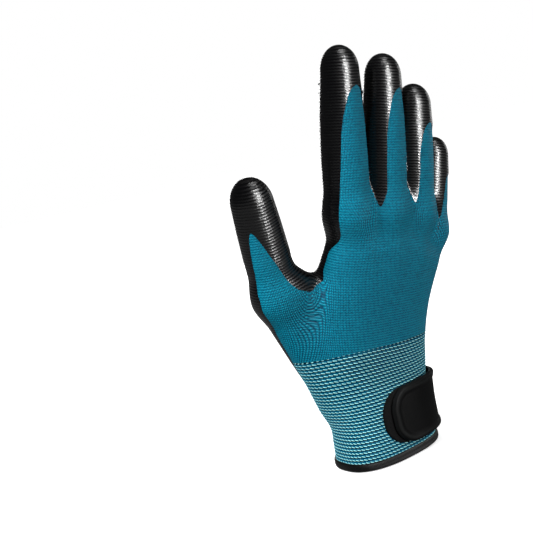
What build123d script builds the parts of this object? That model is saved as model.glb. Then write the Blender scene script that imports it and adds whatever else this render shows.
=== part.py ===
from build123d import *
import math
import os

# Pet grooming glove, right hand, as worn: an open relaxed hand above an upright cuff.
# Cuff frame: origin at the centre of the cuff opening, +Z up towards the fingertips,
# +X towards the little finger, +Y out of the palm (nub side), -Y out of the back of the hand.
# Hand frame: the same axes, leaned at the wrist. Everything is in millimetres.

os.makedirs("parts", exist_ok=True)

# ---- layers: offsets are measured outwards from the outside of the coating ----
COAT = 0.7                       # dipped nitrile thickness
GAP = 0.1                        # bond line kept open between layers
KNIT = 1.0                       # knitted liner thickness
PAD = 0.8                        # rubber base under the nubs
KNIT_OUTER = -COAT - GAP
KNIT_INNER = KNIT_OUTER - KNIT
PAD_OUTER = GAP + PAD

# ---- hand pose ----
LEAN_SIDE = math.radians(9.0)    # towards the little finger
LEAN_BACK = math.radians(15.0)   # wrist extension
WRIST = (3.0, 0.0, 46.0)         # wrist centre, cuff frame
HAND_X = (math.cos(LEAN_SIDE), 0.0, -math.sin(LEAN_SIDE))
HAND_Z = (math.sin(LEAN_SIDE) * math.cos(LEAN_BACK), -math.sin(LEAN_BACK),
          math.cos(LEAN_SIDE) * math.cos(LEAN_BACK))
HAND = Plane(origin=WRIST, x_dir=HAND_X, z_dir=HAND_Z).location

# ---- cross sections: z, centre x, centre y, half width, half depth ----
CUFF = [(0.0, 0.0, 0.0, 31.2, 22.8),           # cuff frame
        (14.0, 0.0, 0.0, 31.0, 22.6),
        (26.0, 0.0, 0.0, 31.0, 22.2)]
OPENING = CUFF[0]
WRIST_SECTION = (0.0, -4.4, 0.0, 32.3, 20.8)   # hand frame from here on
SPLIT = (12.0, -8.0, 0.6, 35.0, 20.2)          # where the ribbed cuff meets the plain knit
PALM = [SPLIT,
        (22.0, -11.0, 1.0, 37.5, 19.4),
        (42.0, -9.0, 1.0, 40.5, 18.0),
        (65.0, -1.5, 0.0, 41.5, 16.0),
        (80.0, 3.0, -1.0, 42.0, 13.6),
        (97.0, 4.5, -2.0, 42.5, 12.0)]
SPLIT_CLEAR = 0.15               # half gap between cuff and hand liner

# ---- fingers, hand frame: base at the web, angles in degrees, coated radii;
# crown_x is the span of x above which the hand shell is cut away for the finger ----
FINGERS = {
    "index": dict(base=(-29.5, 0.0, 92.0), splay=-3.5, curl=7.0, length=84.0,
                  root_r=11.0, tip_r=9.4, crown_x=(-60.0, -17.7)),
    "middle": dict(base=(-5.8, -2.5, 94.0), splay=-1.0, curl=8.0, length=81.0,
                   root_r=11.0, tip_r=9.4, crown_x=(-17.7, 5.6)),
    "ring": dict(base=(16.9, -1.5, 90.5), splay=0.5, curl=9.0, length=69.0,
                 root_r=10.6, tip_r=8.9, crown_x=(5.6, 27.6)),
    "little": dict(base=(38.0, 2.0, 78.0), splay=0.5, curl=10.0, length=52.0,
                   root_r=9.8, tip_r=8.2, crown_x=(27.6, 70.0)),
}
THUMB_BASE = Vector(-65.5, 8.5, 50.0)
THUMB_TIP = Vector(-85.0, 13.5, 110.5)
THUMB_AXIS = THUMB_TIP - THUMB_BASE
THUMB_PAD_WAY = (0.5, 0.866, 0.0)              # way the thumb's pad faces
THUMB = dict(length=THUMB_AXIS.length, root_r=12.4, tip_r=10.4)
THUMB_ROOT = Vector(-33.0, 4.0, 0.0)           # start of the cone that carries the thumb
THUMB_ROOT_R, THUMB_ROOT_TOP_R = 15.5, 13.0

# ---- creases ----
PIP_AT, DIP_AT, THUMB_IP_AT = 0.29, 0.58, 0.46  # share of the length from the base
MCP_MAX, PIP_MAX, DIP_RATIO = 65.0, 75.0, 0.6   # bend in degrees; DIP as a share of PIP
THUMB_MCP_MAX, THUMB_IP_MAX = 40.0, 55.0
HINGE_DEPTH = 2.6                # hinge below the coated surface
CREASE_CLEAR = 0.35              # half gap between two segments

# ---- finger nubs ----
NUB_R, NUB_TOP_R, NUB_H = 1.35, 0.5, 3.4
NUB_SINK = 0.35                  # depth of the nub root in its pad
NUB_BEARINGS = (-34.5, -11.5, 11.5, 34.5)       # degrees around the finger
NUB_PITCH_MIN, NUB_PITCH_MAX = 4.3, 4.9
PAD_HALF_ANGLE = 47.0            # half the arc covered by the pad
PAD_MARGIN = 0.5                 # kept clear of the opened crease
BACK_WINDOW = 24.0               # length at the fingertip that is coated all round

# ---- palm nubs ----
PALM_NUB_R, PALM_NUB_H = 3.3, 4.2
PALM_NUB_SINK = 0.5

# ---- cuff binding ----
HEM_H = 5.0
HEM_FLOOR = 1.0                  # solid below the slot that holds the rib
RIB_START = 1.2

# ---- wrist strap ----
STRAP_BOTTOM, STRAP_TOP = 8.0, 40.0
STRAP_MID = (STRAP_BOTTOM + STRAP_TOP) / 2
STRAP_HALF = (STRAP_TOP - STRAP_BOTTOM) / 2
STRAP_T, PATCH_T, HOOK_T = 2.2, 0.9, 0.9
PATCH_INNER = GAP - 0.05
HOOK_INNER = GAP + PATCH_T + 0.1
TAB_INNER = GAP * 2 + PATCH_T + HOOK_T + 0.15
TAB_OUTER = TAB_INNER + STRAP_T
TAB_TIP_X = -8.0
HINGE_BEARING, HINGE_CLEAR = -6.0, 0.6          # degrees about the cuff axis
WELL_DEPTH, WELL_RIM, WELL_BEARING = 0.6, 3.4, HINGE_BEARING - 6.0
INLAY_CLEAR = 0.4                # inlay edge to well edge


# ---- helpers ----
def biggest(shape):
    solids = shape if isinstance(shape, list) else shape.solids()
    return max(solids, key=lambda solid: solid.volume)


def save(name, shape):
    export_step(shape, f"parts/{name}.step")


def frame(base, axis, y_way):
    """Frame at base with z along axis and y as near y_way as it can be."""
    z_dir = Vector(*axis).normalized()
    x_dir = Vector(*y_way).cross(z_dir).normalized()
    return Plane(origin=base, x_dir=x_dir, z_dir=z_dir).location


def finger_frame(finger):
    splay, curl = math.radians(finger["splay"]), math.radians(finger["curl"])
    axis = (math.sin(splay) * math.cos(curl), math.sin(curl), math.cos(splay) * math.cos(curl))
    return frame(finger["base"], axis, (0, 1, 0))


FINGER_FRAMES = {name: finger_frame(finger) for name, finger in FINGERS.items()}
THUMB_FRAME = frame(THUMB_BASE, THUMB_AXIS, THUMB_PAD_WAY)


def wedge(hinge_z, hinge_y, half_deg, up, width=60.0):
    """Prism opening the palm side of a crease, above (up=1) or below (up=-1) its hinge."""
    reach = 40.0
    lip = reach * math.tan(math.radians(half_deg + 1.0))
    outline = [(hinge_y - 0.5, hinge_z),
               (hinge_y - 0.5, hinge_z + up * 0.01),
               (hinge_y + reach, hinge_z + up * lip),
               (hinge_y + reach, hinge_z)]
    face = make_face(Polyline(*[(0, y, z) for y, z in outline], close=True))
    return extrude(face, width / 2, dir=(1, 0, 0), both=True)


def mould(pad, nub, place):
    """Fuse a nub to its pad, turning it about its own axis until it merges cleanly."""
    faces_before = len(pad.faces())
    for turn in (0.0, 37.0, 71.0, 113.0, 160.0, 201.0):
        out = pad.fuse(place * Rot(0, 0, turn) * nub)
        if (len(out.solids()) == 1 and len(out.solids()[0].shells()) == 1
                and len(out.faces()) == faces_before + 2):
            break
    return biggest(out)


# ---- finger and thumb stalls: z runs from the base to the tip, +y is the nub side ----
def dome_start(stall):
    return stall["length"] - stall["tip_r"]


def radius_at(stall, z):
    root_r, tip_r, top = stall["root_r"], stall["tip_r"], dome_start(stall)
    return root_r + (tip_r - root_r) * min(z, top) / top


def tube(stall, offset, thick, low, high):
    """Stall wall from low to high, with a closed dome if high reaches the tip."""
    top = dome_start(stall)
    outer_low = radius_at(stall, low) + offset
    inner_low = outer_low - thick
    outer_high = radius_at(stall, high) + offset
    inner_high = outer_high - thick
    if high < top:
        outline = Polyline((inner_low, 0, low), (outer_low, 0, low),
                           (outer_high, 0, high), (inner_high, 0, high), close=True)
    else:
        k = math.sqrt(0.5)
        outer, inner = outer_high, inner_high
        outline = (Line((inner_low, 0, low), (outer_low, 0, low))
                   + Line((outer_low, 0, low), (outer, 0, top))
                   + ThreePointArc((outer, 0, top), (outer * k, 0, top + outer * k),
                                   (0, 0, top + outer))
                   + Line((0, 0, top + outer), (0, 0, top + inner))
                   + ThreePointArc((0, 0, top + inner), (inner * k, 0, top + inner * k),
                                   (inner, 0, top))
                   + Line((inner, 0, top), (inner_low, 0, low)))
    return revolve(make_face(outline), Axis.Z, 360)


def slab(z0, z1, y0, y1, width=60.0):
    return Pos(0, (y0 + y1) / 2, (z0 + z1) / 2) * Box(width, y1 - y0, z1 - z0)


def finger_nub():
    height = NUB_H + NUB_SINK
    return Pos(0, 0, height / 2) * Cone(NUB_R, NUB_TOP_R, height)


def finger_nub_pad(stall, low, half_low, high, half_high, is_tip, open_creases):
    """Base patch and nubs as one moulding."""
    def crease_gap(half_deg):
        return (HINGE_DEPTH + PAD_OUTER + NUB_H) * math.tan(math.radians(half_deg)) + PAD_MARGIN

    start = low + crease_gap(half_low)
    end = high - (stall["tip_r"] + 0.6 if is_tip else crease_gap(half_high))
    run = end - start - 2 * NUB_R
    rows = max(2, int(run / NUB_PITCH_MIN) + 1)
    pitch = min(NUB_PITCH_MAX, run / (rows - 1))
    half_width = radius_at(stall, start) * math.sin(math.radians(PAD_HALF_ANGLE))
    base = tube(stall, PAD_OUTER, PAD, max(start - 0.6, low + 2.2),
                min(end + 0.4, dome_start(stall) - 0.1))
    base = base & slab(-30, stall["length"] + 20, 0, 40, 2 * half_width)
    pad = biggest(open_creases(base))
    for row in range(rows):
        z = start + NUB_R + pitch * row
        radius = radius_at(stall, z) + PAD_OUTER - NUB_SINK
        for bearing in NUB_BEARINGS:
            x_way, y_way = math.sin(math.radians(bearing)), math.cos(math.radians(bearing))
            spot = Plane(origin=(radius * x_way, radius * y_way, z),
                         x_dir=(0, 0, 1), z_dir=(x_way, y_way, 0))
            pad = mould(pad, finger_nub(), spot.location)
    return pad


def make_stall(name, stall, place, creases, segments):
    """creases: (z, half bend in degrees) at the foot of each segment, base first."""
    length = stall["length"]
    for i, segment in enumerate(segments):
        is_tip = i == len(segments) - 1
        low, half_low = creases[i]
        high, half_high = (length, 0.0) if is_tip else creases[i + 1]

        def open_creases(shape):
            shape = shape - wedge(low, radius_at(stall, low) - HINGE_DEPTH, half_low, 1)
            if not is_tip:
                shape = shape - wedge(high, radius_at(stall, high) - HINGE_DEPTH, half_high, -1)
            return shape

        bottom = low + CREASE_CLEAR
        top = length if is_tip else high - CREASE_CLEAR
        liner = open_creases(tube(stall, KNIT_OUTER, KNIT, bottom, top))
        save(f"{name}_{segment}_liner", place * biggest(liner))

        # the back of the finger stays uncoated, except at the tip
        window_top = length - BACK_WINDOW if is_tip else length
        coating = open_creases(tube(stall, 0.0, COAT, bottom, top))
        coating = coating - slab(-20, window_top, -40, -0.35 * stall["root_r"])
        save(f"{name}_{segment}_coating", place * biggest(coating))

        pad = finger_nub_pad(stall, low, half_low, high, half_high, is_tip, open_creases)
        save(f"{name}_{segment}_nub_pad", place * pad)


for name, finger in FINGERS.items():
    make_stall(name, finger, HAND * FINGER_FRAMES[name],
               [(0.0, MCP_MAX / 2),
                (PIP_AT * finger["length"], PIP_MAX / 2),
                (DIP_AT * finger["length"], PIP_MAX * DIP_RATIO / 2)],
               ["proximal", "middle", "distal"])
make_stall("thumb", THUMB, HAND * THUMB_FRAME,
           [(0.0, THUMB_MCP_MAX / 2), (THUMB_IP_AT * THUMB["length"], THUMB_IP_MAX / 2)],
           ["proximal", "distal"])


# ---- hand shell, in the hand frame ----
def section(station, offset):
    z, x, y, half_width, half_depth = station
    half_width, half_depth = half_width + offset, half_depth + offset
    corner = min(half_width, half_depth) - 0.15
    return Pos(x, y, z) * RectangleRounded(2 * half_width, 2 * half_depth, corner)


def thumb_root(offset):
    axis = THUMB_BASE - THUMB_ROOT
    cone = Cone(THUMB_ROOT_R + offset, THUMB_ROOT_TOP_R + offset, axis.length)
    return frame(THUMB_ROOT, axis, (0, 1, 0)) * Pos(0, 0, axis.length / 2) * cone


def crown(drop):
    """Boxes above the webs, one per finger; drop lowers their undersides."""
    boxes = []
    for finger in FINGERS.values():
        x0, x1 = finger["crown_x"]
        _, y, z = finger["base"]
        splay, curl = math.radians(abs(finger["splay"])), math.radians(finger["curl"])
        depth = drop + CREASE_CLEAR + finger["root_r"] * math.sin(splay)
        at = Plane(origin=((x0 + x1) / 2, y, z), x_dir=(1, 0, 0),
                   z_dir=(0, math.sin(curl), math.cos(curl))).location
        boxes.append(at * Pos(0, 0, 30 - depth) * Box(x1 - x0, 90, 60))
    return boxes


def cut_each(body, tools):
    for tool in tools:
        body = body - tool
    return body


def hand_body(offset, drop=0.0):
    body = loft([section(station, offset) for station in PALM])
    return biggest(cut_each(body, crown(drop))).fuse(thumb_root(offset))


def base_wedge(stall, place, bend, extra_width):
    """Opens the hand shell below the crease at the base of a finger or the thumb."""
    root_r = stall["root_r"]
    return place * wedge(0.0, root_r - HINGE_DEPTH, bend / 2, -1, 2 * root_r + extra_width)


BASE_WEDGES = [base_wedge(finger, FINGER_FRAMES[name], MCP_MAX, 2.4)
               for name, finger in FINGERS.items()]
BASE_WEDGES.append(base_wedge(THUMB, THUMB_FRAME, THUMB_MCP_MAX, 8))
BELOW_SPLIT = Pos(-10, 0, SPLIT[0] - 50 + SPLIT_CLEAR) * Box(260, 160, 100)
THUMB_MOUTH = THUMB_FRAME * Pos(0, 0, 20 - CREASE_CLEAR) * Box(60, 60, 40)


def hand_liner():
    bores = [FINGER_FRAMES[name] * Cylinder(finger["root_r"] + KNIT_INNER, 24)
             for name, finger in FINGERS.items()]
    thumb_bore = THUMB_FRAME * Pos(0, 0, -12) * Cylinder(THUMB_ROOT_TOP_R + KNIT_INNER, 40)
    liner = hand_body(KNIT_OUTER) - hand_body(KNIT_INNER, KNIT)
    liner = liner - thumb_bore - BELOW_SPLIT - THUMB_MOUTH
    return HAND * biggest(cut_each(liner, BASE_WEDGES + bores))


def palm_coating():
    coating = hand_body(0.0) - hand_body(-COAT, -3.0)
    coating = coating - BELOW_SPLIT - THUMB_MOUTH
    palm_side = Pos(-15, 40 - 5.0, 75) * Box(260, 80, 130)
    coating = coating & palm_side
    return HAND * biggest(cut_each(coating, BASE_WEDGES + crown(0.0)))


save("hand_liner", hand_liner())
save("palm_coating", palm_coating())

# ---- palm nub pads ----
PAD_BODY = hand_body(PAD_OUTER)
PAD_SHELL = cut_each(PAD_BODY - hand_body(GAP), BASE_WEDGES)


def palm_nub(radius, height):
    """Tapered peg with a domed cap; its root starts below the pad surface."""
    rim_r, cap_h = radius * 0.86, radius * 0.62
    dome_r = (rim_r * rim_r + cap_h * cap_h) / (2 * cap_h)
    peak = height + PALM_NUB_SINK
    rim_z, centre_z = peak - cap_h, peak - dome_r
    half = math.asin(rim_r / dome_r) / 2
    mid = (dome_r * math.sin(half), 0, centre_z + dome_r * math.cos(half))
    outline = (Line((0, 0, 0), (radius, 0, 0))
               + Line((radius, 0, 0), (rim_r, 0, rim_z))
               + ThreePointArc((rim_r, 0, rim_z), mid, (0, 0, peak))
               + Line((0, 0, peak), (0, 0, 0)))
    return revolve(make_face(outline), Axis.Z, 360)


def palm_pad(outline, spots, radius=PALM_NUB_R, height=PALM_NUB_H):
    face = make_face(Polyline(*[(x, 0, z) for x, z in outline], close=True))
    pad = biggest(PAD_SHELL & extrude(face, 60, dir=(0, 1, 0)))
    nub = palm_nub(radius, height)
    for x, z in spots:
        hits = PAD_BODY.find_intersection_points(Axis((x, -60, z), (0, 1, 0)))
        point, normal = max(hits, key=lambda hit: hit[0].Y)
        if normal.Y <= 0:
            normal = normal * -1
        origin = point - normal * PALM_NUB_SINK
        pad = mould(pad, nub, Plane(origin=origin, z_dir=normal).location)
    return HAND * pad


# outlines and nub centres as (x, z) seen from the palm side
ROOT_BAND = [(-37, 72), (-37, 83), (27, 81.5), (27, 70)]
ROOT_BAND_NUBS = [(-31.0, 77.3), (-18.0, 77.1), (-5.0, 76.8), (8.0, 76.4), (20.5, 75.9)]
THENAR = [(-45, 20), (-47, 38), (-41, 53), (-30, 60), (-18, 60), (-13, 42), (-13, 18),
          (-22, 13), (-36, 14)]
THENAR_NUBS = [(-34, 19.5), (-25, 19), (-17, 20),
               (-38, 29), (-28.5, 28.5), (-19, 29),
               (-40, 38.5), (-30.5, 38), (-20.5, 38.5),
               (-36.5, 47.5), (-27, 47.5), (-18.5, 48),
               (-28.5, 56.0)]
OUTER_PALM = [(-8, 21), (-8, 63), (-3, 68), (27, 67), (31.5, 62), (30.5, 52), (29.3, 42),
              (27.2, 32), (24.8, 22), (21, 17), (-3, 17)]
OUTER_PALM_ROWS = [              # z, then the x of each nub
    (62.0, (-1.5, 8.2, 17.9, 27.2)),
    (52.3, (-2.0, 7.7, 17.3, 26.4)),
    (42.5, (-2.3, 7.4, 16.8, 25.6)),
    (32.7, (-2.5, 7.0, 16.0, 24.0)),
    (23.0, (-2.5, 6.6, 15.0, 22.0))]
INDEX_ROOT = [(-37.5, 62), (-37.5, 67.5), (-33, 70), (-28.5, 67.5), (-28.5, 62), (-33, 60.5)]

save("finger_root_nub_band", palm_pad(ROOT_BAND, ROOT_BAND_NUBS))
save("thenar_nub_pad", palm_pad(THENAR, THENAR_NUBS))
save("outer_palm_nub_pad",
     palm_pad(OUTER_PALM, [(x, z) for z, row in OUTER_PALM_ROWS for x in row]))
save("index_root_nub", palm_pad(INDEX_ROOT, [(-33, 65.3)], radius=3.8, height=4.4))


# ---- cuff ----
def cuff_loft(offset):
    sections = [section(station, offset) for station in CUFF]
    sections += [HAND * section(station, offset) for station in (WRIST_SECTION, SPLIT)]
    return loft(sections)


def cuff_rib():
    trim_low = Pos(0, 0, -20 + RIB_START) * Box(200, 200, 40)
    trim_top = HAND * (Pos(-10, 0, SPLIT[0] + 30 - SPLIT_CLEAR) * Box(200, 200, 60))
    return biggest(cuff_loft(KNIT_OUTER) - cuff_loft(KNIT_INNER) - trim_low - trim_top)


def ring_band(inner, outer, z0, z1):
    """Upright band around the cuff opening between two offsets."""
    height = z1 - z0
    band = extrude(section(OPENING, outer), height) - extrude(section(OPENING, inner), height)
    return Pos(0, 0, z0) * band


def hem_binding():
    slot = ring_band(KNIT_INNER - 0.35, KNIT_OUTER + 0.25, 0, HEM_H)
    outer = extrude(section(OPENING, 0.9), HEM_H)
    inner = extrude(section(OPENING, -3.0), HEM_H)
    return biggest(outer - inner - Pos(0, 0, HEM_FLOOR) * slot)


save("cuff_rib", cuff_rib())
save("hem_binding", hem_binding())


# ---- wrist strap, across the back of the cuff with its round end towards the thumb side ----
def strap_band(inner, outer):
    return ring_band(inner, outer, STRAP_BOTTOM, STRAP_TOP)


def sector(start, end):
    """Pie slice about the cuff axis between two bearings in degrees from +X."""
    steps = 12
    points = [(0, 0)]
    for i in range(steps + 1):
        bearing = math.radians(start + (end - start) * i / steps)
        points.append((90 * math.cos(bearing), 90 * math.sin(bearing)))
    return extrude(make_face(Polyline(*points, close=True)), 60)


def tongue(tip_x, half):
    """Strap outline on the -Y side: round at tip_x, straight towards +X."""
    straight = Pos(tip_x + half + 60, 0, STRAP_MID) * Box(120, 80, 2 * half)
    end = Pos(tip_x + half, 0, STRAP_MID) * (Rot(90, 0, 0) * Cylinder(half, 80))
    return (straight + end) & (Pos(0, -40, STRAP_MID) * Box(200, 80, 80))


def strap_tab():
    tab = strap_band(TAB_INNER, TAB_OUTER) & sector(-140, HINGE_BEARING - HINGE_CLEAR)
    tab = tab & tongue(TAB_TIP_X, STRAP_HALF)
    well_outline = tongue(TAB_TIP_X + WELL_RIM, STRAP_HALF - WELL_RIM) & sector(-140, WELL_BEARING)
    well = strap_band(TAB_OUTER - WELL_DEPTH, TAB_OUTER + 1) & well_outline
    return biggest(tab - well)


def strap_inlay():
    rim = WELL_RIM + INLAY_CLEAR
    outline = tongue(TAB_TIP_X + rim, STRAP_HALF - rim) & sector(-140, WELL_BEARING - 0.6)
    return biggest(strap_band(TAB_OUTER - 0.55, TAB_OUTER - 0.05) & outline)


def hook_tape():
    band = strap_band(HOOK_INNER, HOOK_INNER + HOOK_T)
    return biggest(band & sector(-140, -52) & tongue(-5.5, STRAP_HALF - 2.5))


def loop_patch():
    band = strap_band(PATCH_INNER, PATCH_INNER + PATCH_T)
    return biggest(band & sector(-150, -48) & tongue(-14.0, STRAP_HALF))


def strap_anchor():
    band = strap_band(PATCH_INNER, TAB_OUTER)
    return biggest(band & sector(HINGE_BEARING + HINGE_CLEAR, 24))


def strap_stitches():
    """Two upright rows of stitches standing on the anchor."""
    stitches = []
    for bearing in (2.0, 20.0):
        for i in range(7):
            z = STRAP_BOTTOM + 4 + i * 4.0
            band = ring_band(TAB_OUTER + 0.05, TAB_OUTER + 0.45, z - 1.3, z + 1.3)
            stitches.append(biggest(band & sector(bearing - 0.5, bearing + 0.5)))
    return Compound(children=stitches)


save("strap_tab", strap_tab())
save("strap_inlay", strap_inlay())
save("hook_tape", hook_tape())
save("loop_patch", loop_patch())
save("strap_anchor", strap_anchor())
save("strap_stitches", strap_stitches())
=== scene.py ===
# A knitted work glove with a rubber dip, rubber nubs and a wrist strap. It stands on its hem
# at z = 0, fingers up (+Z), palm towards +Y, back of the hand towards -Y, thumb at -X.
# Lengths are millimetres; make_object turns them into metres. The hand frame has its origin
# at the wrist and leans against the world frame. The whole skin is the zero level of one
# distance field; every piece is cut from that skin or laid on it.
import math
from types import SimpleNamespace
import bpy
import numpy as np
from mathutils import Matrix, Vector


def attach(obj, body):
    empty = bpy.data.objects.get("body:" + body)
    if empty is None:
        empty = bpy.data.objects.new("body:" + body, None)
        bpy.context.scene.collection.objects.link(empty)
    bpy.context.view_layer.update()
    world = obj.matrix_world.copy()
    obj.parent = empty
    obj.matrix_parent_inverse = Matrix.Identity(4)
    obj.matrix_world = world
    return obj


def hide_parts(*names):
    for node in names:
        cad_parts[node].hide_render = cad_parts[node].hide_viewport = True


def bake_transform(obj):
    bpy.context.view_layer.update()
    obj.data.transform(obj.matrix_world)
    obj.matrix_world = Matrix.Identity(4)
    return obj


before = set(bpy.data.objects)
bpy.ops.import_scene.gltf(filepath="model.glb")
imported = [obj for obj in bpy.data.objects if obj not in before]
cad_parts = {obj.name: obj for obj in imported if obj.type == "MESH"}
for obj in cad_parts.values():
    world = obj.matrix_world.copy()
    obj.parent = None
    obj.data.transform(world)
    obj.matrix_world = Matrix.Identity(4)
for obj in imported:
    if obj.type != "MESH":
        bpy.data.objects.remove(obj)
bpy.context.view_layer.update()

MM = 0.001
TAU = math.tau


# ------------------------------------------------------------------ small arithmetic
def ease(value, low, high):
    """Smooth step from 0 at low to 1 at high."""
    t = np.clip((value - low) / (high - low), 0, 1)
    return t * t * (3 - 2 * t)


def lerp(first, second, share):
    return first * (1 - share) + second * share


def soft_min(first, second, reach):
    overlap = np.maximum(reach - np.abs(first - second), 0) / reach
    return np.minimum(first, second) - overlap * overlap * reach * 0.25


def unit(vectors):
    return vectors / np.linalg.norm(vectors, axis=-1, keepdims=True)


# ------------------------------------------------------------------ hand frame
WRIST = np.array([6.3, -2.4, 46.0])
LEAN_Y, LEAN_X = math.radians(9.0), math.radians(15.0)
cos_x, sin_x = math.cos(LEAN_X), math.sin(LEAN_X)
cos_y, sin_y = math.cos(LEAN_Y), math.sin(LEAN_Y)
LEAN = (np.array([[cos_y, 0, sin_y], [0, 1, 0], [-sin_y, 0, cos_y]])
        @ np.array([[1, 0, 0], [0, cos_x, -sin_x], [0, sin_x, cos_x]]))


def to_world(hand):
    return WRIST + hand @ LEAN.T


def to_hand(pts):
    return (pts - WRIST) @ LEAN


# ------------------------------------------------------------------ fingers (hand frame)
TIP_STRETCH = 1.3    # length of a rounded fingertip over its radius
CUT_GAP = 0.8        # from a cut between segments to the nearest end of a bend


def finger(base, toward, palm_side, length, radii, creases, **more):
    """One digit. Its axes: z along it, y near palm_side. radii: (share of length, radius)."""
    z = unit(np.array(toward, float))
    x = unit(np.cross(palm_side, z))
    made = SimpleNamespace(base=np.array(base), axes=np.stack([x, np.cross(z, x), z], 1),
                           length=length, radii=np.array(radii), creases=creases, **more)
    made.tip_radius = radii[-1][1]
    made.shoulder = length - TIP_STRETCH * made.tip_radius
    made.base_radius = float(finger_radius(made, 0.0))
    made.shoulder_radius = float(finger_radius(made, made.shoulder))
    # stretches over which each segment bends, as distances from the base
    first_cut = made.cuts[0]
    made.bends = [(made.start + CUT_GAP, first_cut - CUT_GAP),
                  (first_cut + CUT_GAP, 2 * creases[1] - first_cut - CUT_GAP)]
    if len(creases) > 2:
        made.bends.append((creases[2] - 6.0, creases[2] + 6.0))
    return made


def finger_radius(digit, along):
    return np.interp(along / digit.length, digit.radii[:, 0], digit.radii[:, 1])


def long_finger(splay, curl, crease_length, **more):
    """splay and curl in degrees; creases are shares of crease_length."""
    splay, curl = math.radians(splay), math.radians(curl)
    toward = [math.sin(splay) * math.cos(curl), math.sin(curl),
              math.cos(splay) * math.cos(curl)]
    creases = [0.0, 0.29 * crease_length, 0.58 * crease_length]
    return finger(
        toward=toward, palm_side=[0, 1.0, 0], creases=creases, start=3.0,
        cuts=[creases[1] - 7.0, 0.5 * (creases[1] + creases[2])],
        segments=["proximal", "middle", "distal"],
        pad_gaps=[(4.6, 5.4), (5.4, 3.4), (3.4, None)], **more)


# base: web point.  bare_bearing: middle of the bare knit, degrees from the finger's back.
# bare_tip: from the fingertip down to the point of the bare knit.
# low, trim: where and by how many degrees the bare knit narrows on the thumb side.
# pad_bearing: middle of the nub pads, degrees from the palm side.  nub_pitch: across a pad.
# knuckle: lower end of the ridge that runs from the palm's core to the base.
FINGERS = {
    "index": long_finger(
        base=(-29.6, 0.0, 92.0), splay=-3.3, curl=7.0, length=85.4, crease_length=84.0,
        radii=[(-0.2, 11.4), (0, 11.5), (0.35, 11.7), (0.6, 11.0), (0.8, 9.6), (1, 8.5)],
        bare_bearing=19, bare_tip=18.8, low=None, trim=0.0, pad_bearing=19.0,
        nub_pitch=4.65, knuckle=(-17, 1.0, 30)),
    "middle": long_finger(
        base=(-6.6, -2.5, 94.0), splay=-0.4, curl=8.0, length=80.0, crease_length=81.0,
        radii=[(-0.2, 11.0), (0, 11.1), (0.35, 11.5), (0.6, 10.8), (0.8, 9.4), (1, 8.4)],
        bare_bearing=25, bare_tip=16.5, low=2.5, trim=4.0, pad_bearing=13.0,
        nub_pitch=4.65, knuckle=(-8, 1.0, 26)),
    "ring": long_finger(
        base=(15.0, -1.5, 90.5), splay=0.8, curl=9.0, length=68.0, crease_length=69.0,
        radii=[(0, 10.3), (0.35, 10.7), (0.6, 10.3), (0.8, 9.2), (1, 8.3)],
        bare_bearing=25, bare_tip=19.2, low=2.0, trim=9.0, pad_bearing=13.0,
        nub_pitch=4.65, knuckle=(1, 1.0, 24)),
    "little": long_finger(
        base=(30.7, 2.0, 78.0), splay=6.3, curl=10.0, length=51.2, crease_length=52.0,
        radii=[(0, 8.9), (0.35, 9.0), (0.6, 8.6), (0.8, 7.8), (1, 7.0)],
        bare_bearing=37, bare_tip=18.5, low=1.5, trim=19.0, pad_bearing=13.0,
        nub_pitch=4.1, knuckle=(9, 1.0, 24)),
}
THUMB_BASE, THUMB_TIP = np.array([-65.6, 9.0, 50.0]), np.array([-84.0, 14.0, 111.0])
THUMB_LENGTH = float(np.linalg.norm(THUMB_TIP - THUMB_BASE))
THUMB_CREASE = 0.46 * THUMB_LENGTH
THUMB = finger(
    THUMB_BASE, THUMB_TIP - THUMB_BASE, palm_side=[0.5, 0.866, 0.0], length=THUMB_LENGTH,
    radii=[(0, 11.6), (0.35, 11.6), (0.6, 11.1), (0.8, 10.4), (1, 9.8)],
    creases=[0.0, THUMB_CREASE], start=7.0, cuts=[THUMB_CREASE - 7.5],
    segments=["proximal", "distal"], pad_gaps=[(6.5, 4.4), (4.6, None)],
    bare_bearing=-23, bare_tip=23.5, pad_bearing=4.0, nub_pitch=4.65)
DIGITS = dict(FINGERS, thumb=THUMB)
FINGER_WIDEN = 0.03    # side-to-side widening of the four fingers

# ------------------------------------------------------------------ trunk of the hand
# height from the wrist, centre x, centre y, half width, half depth
TRUNK = np.array([
    (-60, -6.3, 2.4, 30.4, 22.3), (-46, -6.3, 2.4, 30.4, 22.3), (-32, -6.1, 2.3, 30.0, 22.0),
    (-20, -5.2, 1.8, 29.0, 21.4), (-8, -4.3, 1.0, 30.2, 20.6), (4, -4.4, 0.4, 32.8, 20.2),
    (20, -9.9, 1, 36.0, 19.5), (42, -11.5, 1, 37.1, 18), (65, -6.3, 0, 36.6, 16),
    (80, -2.4, -0.8, 37.4, 12.9), (96, -0.6, -1.2, 37.4, 11.4), (130, -0.6, -1.2, 37.4, 11.4)])
TRUNK_POWER = 2.5      # exponent of the superellipse section
# hand-frame x, and the height at which the trunk ends there
TRUNK_TOP = ([-60, -41, -18.6, 4.0, 25.2, 42, 60], [71, 76.5, 84.0, 82.5, 71.5, 62, 56])

# the stations, smoothed along the height
SMOOTH_REACH = 18
HEIGHTS = np.arange(-60, 130.1, 1.0)
kernel = np.exp(-0.5 * (np.arange(-SMOOTH_REACH, SMOOTH_REACH + 1) / 6.0) ** 2)
kernel /= kernel.sum()
SECTIONS = [np.convolve(np.pad(np.interp(HEIGHTS, TRUNK[:, 0], TRUNK[:, i]),
                               SMOOTH_REACH, mode="edge"), kernel, "valid")
            for i in range(1, 5)]


def section(height):
    """Centre x, centre y, half width and half depth of the trunk."""
    return [np.interp(height, HEIGHTS, column) for column in SECTIONS]


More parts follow.
